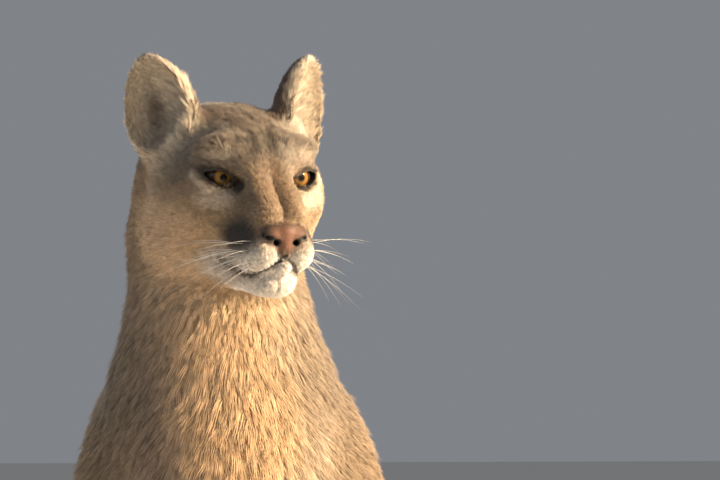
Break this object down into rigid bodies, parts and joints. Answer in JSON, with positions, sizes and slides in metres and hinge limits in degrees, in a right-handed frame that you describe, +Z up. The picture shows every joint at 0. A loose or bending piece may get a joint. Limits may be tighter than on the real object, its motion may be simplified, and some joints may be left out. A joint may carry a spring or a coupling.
{
  "type": "cougar",
  "caption": "Still, life-size model of a cougar sitting upright on its haunches, head turned a little to its left, tail curled round its hind foot.",
  "frame": {"origin": "on the floor, under the middle of the animal's bounding box", "axes": "+X is the animal's left, -Y is ahead of it, +Z is up; the three are the box's width, length and height"},
  "size_m": [0.426, 0.8452, 0.9305],
  "materials": {
    "fur": "short dense tawny coat, grey-brown on top, cream below",
    "nose_leather": "moist, matt pink-brown skin with a dark edge",
    "eye": "wet and glossy, amber iris with a round pupil"
  },
  "bodies": {
    "root": {"head": "fur", "neck": "fur", "torso": "fur", "nose": "nose_leather", "ear_left": "fur", "ear_right": "fur", "eye_left": "eye", "eye_right": "eye", "foreleg_left": "fur", "foreleg_right": "fur", "forepaw_left": "fur", "forepaw_right": "fur", "haunch_left": "fur", "haunch_right": "fur", "hindfoot_left": "fur", "hindfoot_right": "fur", "tail_base": "fur", "tail_middle": "fur", "tail_tip": "fur"}
  },
  "joints": []
}
